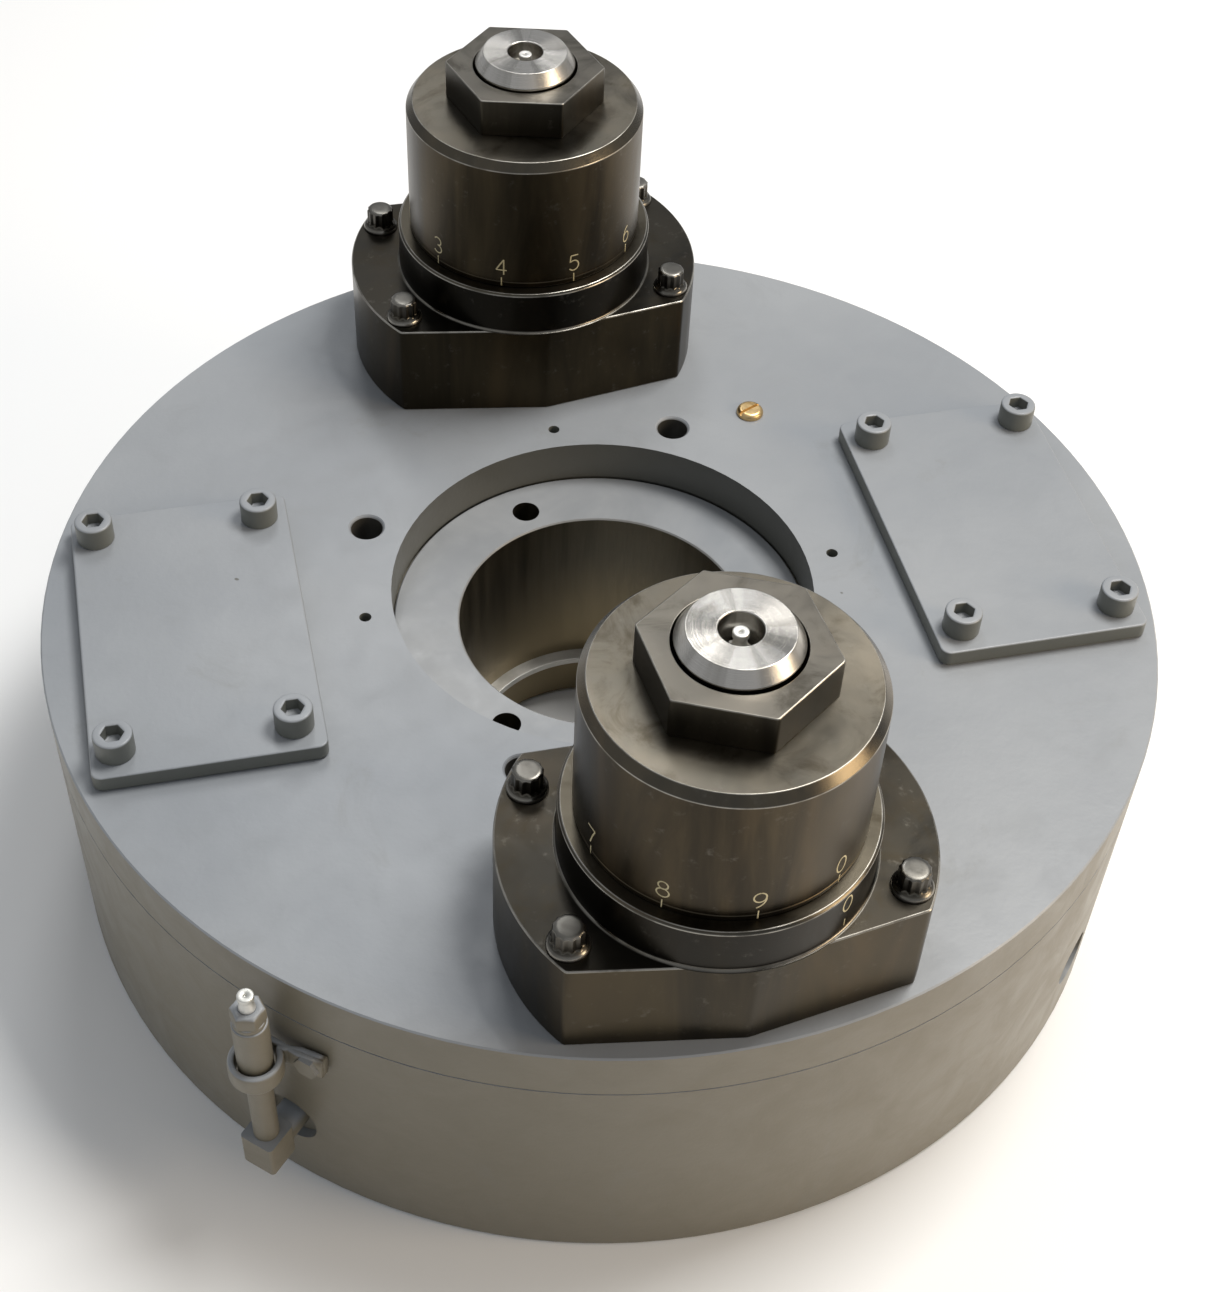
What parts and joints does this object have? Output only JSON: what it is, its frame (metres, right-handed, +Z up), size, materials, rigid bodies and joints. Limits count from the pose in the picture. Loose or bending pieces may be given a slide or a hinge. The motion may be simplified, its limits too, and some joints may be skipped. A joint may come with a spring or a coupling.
{
  "type": "twin-spindle machine head",
  "caption": "Heavy grey drum with a geared centre drive hub, opposed blackened spindle units with graduated dial sleeves and hex ends, access covers and a side grease line.",
  "frame": {"origin": "centre of the drum's bottom face, on the axis of the centre bore", "axes": "+Z up the bore towards the spindle noses; the spindle units stand on the Y axis, front at -Y; the access covers lie on the X axis"},
  "size_m": [0.5716, 0.5716, 0.3503],
  "materials": {
    "grey_paint": "satin blue-grey machine paint",
    "zinc_steel": "bright zinc-plated steel",
    "brass": "dull brass",
    "black_oxide": "oiled black oxide, worn at the edges",
    "hub_steel": "ground bore, painted top face",
    "nose_steel": "bright turned steel",
    "machined_steel": "machined, oiled",
    "bearing_steel": "ground bearing steel",
    "felt": "oiled felt",
    "seal_rubber": "black nitrile",
    "gasket_paper": "oiled gasket paper"
  },
  "bodies": {
    "housing": {"drum_body": "grey_paint", "top_plate": "grey_paint", "access_cover_left": "grey_paint", "access_cover_right": "grey_paint", "cover_gaskets": "gasket_paper", "cover_screws": "grey_paint", "fill_plug": "brass", "body_screws": "black_oxide", "bearing_carrier": "machined_steel", "carrier_screws": "black_oxide", "hub_felt_seal": "felt", "hub_outer_races": "bearing_steel", "spindle_flange_front": "black_oxide", "spindle_flange_rear": "black_oxide", "flange_bolts": "black_oxide", "quill_key_front": "machined_steel", "quill_key_rear": "machined_steel", "dial_retainer_front": "black_oxide", "dial_retainer_rear": "black_oxide", "needle_bearing_front": "bearing_steel", "needle_bearing_rear": "bearing_steel", "lube_elbow": "grey_paint", "lube_tube": "grey_paint", "lube_coupling": "grey_paint", "lube_adaptor": "grey_paint", "lube_nipple": "zinc_steel", "lube_clip": "grey_paint", "lube_clip_screw": "grey_paint", "side_plugs": "grey_paint"},
    "hub": {"drive_hub": "hub_steel", "drive_gear": "machined_steel", "gear_key": "machined_steel", "hub_spacers": "machined_steel", "hub_inner_races": "bearing_steel", "hub_balls": "bearing_steel", "hub_lock_nut": "black_oxide", "bore_retaining_ring": "black_oxide"},
    "dial_front": {"dial_sleeve_front": "black_oxide", "dial_hex_front": "black_oxide"},
    "quill_front": {"quill_front": "machined_steel", "quill_end_nut_front": "machined_steel", "nose_seal_front": "seal_rubber", "spindle_outer_races_front": "bearing_steel", "spindle_balls_front": "bearing_steel"},
    "spindle_front": {"spindle_front": "nose_steel", "pinion_front": "machined_steel", "spindle_inner_races_front": "bearing_steel", "nose_nipple_front": "zinc_steel"},
    "dial_rear": {"dial_sleeve_rear": "black_oxide", "dial_hex_rear": "black_oxide"},
    "quill_rear": {"quill_rear": "machined_steel", "quill_end_nut_rear": "machined_steel", "nose_seal_rear": "seal_rubber", "spindle_outer_races_rear": "bearing_steel", "spindle_balls_rear": "bearing_steel"},
    "spindle_rear": {"spindle_rear": "nose_steel", "pinion_rear": "machined_steel", "spindle_inner_races_rear": "bearing_steel", "nose_nipple_rear": "zinc_steel"}
  },
  "joints": [
    {"name": "hub_spin", "type": "hinge", "parent": "housing", "child": "hub", "pos_m": [0, 0, 0.07], "axis": [0, 0, 1], "continuous": true},
    {"name": "dial_front_turn", "type": "hinge", "parent": "housing", "child": "dial_front", "pos_m": [0, -0.212, 0.2851], "axis": [0, 0, 1], "range_deg": [-324, 0]},
    {"name": "quill_front_slide", "type": "slide", "parent": "housing", "child": "quill_front", "axis": [0, 0, 1], "range_m": [0, 0.0023]},
    {"name": "spindle_front_spin", "type": "hinge", "parent": "quill_front", "child": "spindle_front", "pos_m": [0, -0.212, 0.2451], "axis": [0, 0, 1], "continuous": true},
    {"name": "dial_rear_turn", "type": "hinge", "parent": "housing", "child": "dial_rear", "pos_m": [0, 0.212, 0.2851], "axis": [0, 0, 1], "range_deg": [-123.3, 200.7]},
    {"name": "quill_rear_slide", "type": "slide", "parent": "housing", "child": "quill_rear", "axis": [0, 0, 1], "range_m": [-0.00143, 0.00088]},
    {"name": "spindle_rear_spin", "type": "hinge", "parent": "quill_rear", "child": "spindle_rear", "pos_m": [0, 0.212, 0.2451], "axis": [0, 0, 1], "continuous": true}
  ],
  "couplings": [
    {"joint": "quill_front_slide", "follows": "dial_front_turn", "m_per_rad": -0.00040425},
    {"joint": "spindle_front_spin", "follows": "hub_spin", "ratio": -3.4167},
    {"joint": "quill_rear_slide", "follows": "dial_rear_turn", "m_per_rad": -0.00040425},
    {"joint": "spindle_rear_spin", "follows": "hub_spin", "ratio": -3.4167}
  ]
}
